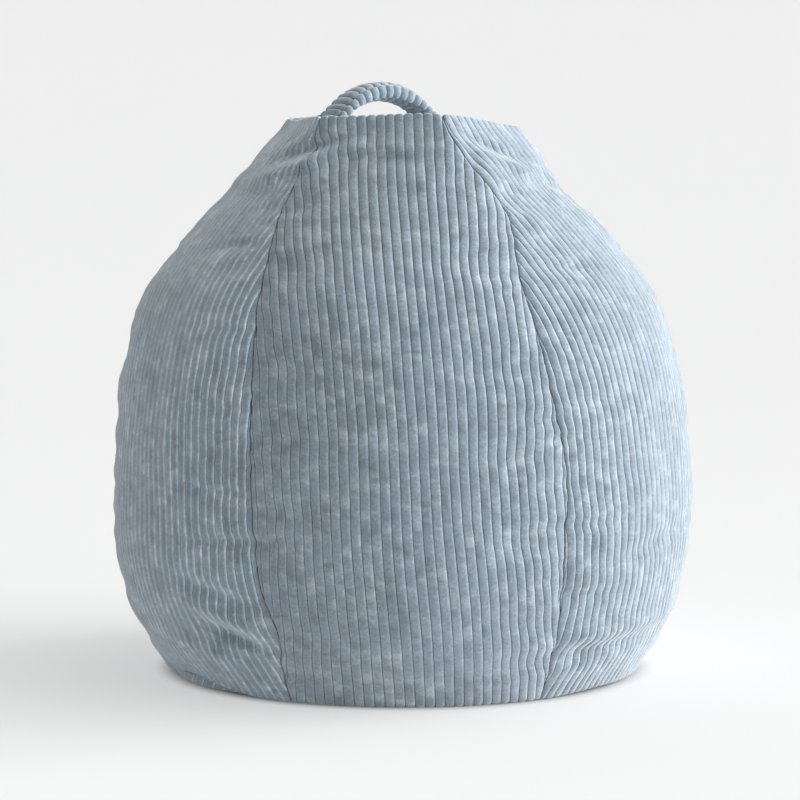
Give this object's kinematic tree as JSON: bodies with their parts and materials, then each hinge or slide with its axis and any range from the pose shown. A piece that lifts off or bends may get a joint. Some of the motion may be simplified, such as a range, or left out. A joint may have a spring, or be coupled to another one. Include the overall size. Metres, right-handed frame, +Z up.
{
  "type": "bean bag chair",
  "caption": "Pear-shaped floor seat: gored wide-wale corduroy cover with a padded carry handle and a zipped base, over a zipped inner liner full of foam beads.",
  "frame": {"origin": "middle of the round base, on the floor", "axes": "+Z up; -Y towards the front, the way the front gore faces; +X to the right seen from the front; the base zip runs along X"},
  "size_m": [0.6608, 0.6667, 0.668],
  "materials": {
    "corduroy": "dusty blue jumbo-wale cotton corduroy, velvety pile with patches of turned nap",
    "liner_cloth": "off-white plain-weave polyester",
    "zip_tape": "grey-blue woven zip tape",
    "zip_coil": "grey-blue moulded nylon",
    "liner_zip_tape": "white woven zip tape",
    "liner_zip_coil": "white moulded nylon",
    "zip_metal": "nickel-plated die-cast zinc, satin",
    "padding": "white polyester wadding",
    "foam_beads": "white expanded polystyrene beads, 3 to 5 mm"
  },
  "bodies": {
    "cover": {"base_panel_back": "corduroy", "base_panel_front": "corduroy", "bead_fill": "foam_beads", "gore_back": "corduroy", "gore_back_left": "corduroy", "gore_back_right": "corduroy", "gore_front": "corduroy", "gore_front_left": "corduroy", "gore_front_right": "corduroy", "handle_end_left": "corduroy", "handle_end_right": "corduroy", "liner_base_back": "liner_cloth", "liner_base_front": "liner_cloth", "liner_gore_back": "liner_cloth", "liner_gore_back_left": "liner_cloth", "liner_gore_back_right": "liner_cloth", "liner_gore_front": "liner_cloth", "liner_gore_front_left": "liner_cloth", "liner_gore_front_right": "liner_cloth", "liner_top": "liner_cloth", "liner_zip_coil_back": "liner_zip_coil", "liner_zip_coil_front": "liner_zip_coil", "liner_zip_stop_left": "liner_zip_coil", "liner_zip_stop_right": "liner_zip_coil", "liner_zip_tape_back": "liner_zip_tape", "liner_zip_tape_front": "liner_zip_tape", "top_panel": "corduroy", "zip_coil_back": "zip_coil", "zip_coil_front": "zip_coil", "zip_stop_left": "zip_coil", "zip_stop_right": "zip_coil", "zip_tape_back": "zip_tape", "zip_tape_front": "zip_tape"},
    "zip_slider": {"zip_slider": "zip_metal"},
    "liner_zip_slider": {"liner_zip_slider": "zip_metal"},
    "handle": {"handle_strap": "corduroy", "handle_padding": "padding"}
  },
  "joints": [
    {"name": "zip_slide", "type": "slide", "parent": "cover", "child": "zip_slider", "axis": [-1, 0, 0], "range_m": [0, 0.405]},
    {"name": "liner_zip_slide", "type": "slide", "parent": "cover", "child": "liner_zip_slider", "axis": [-1, 0, 0], "range_m": [0, 0.405]},
    {"name": "handle_lean", "type": "hinge", "parent": "cover", "child": "handle", "pos_m": [-0.026, 0, 0.636], "axis": [0.766, 0.6428, 0], "range_deg": [-32, 32], "stiffness_Nm_per_rad": 0.02}
  ]
}
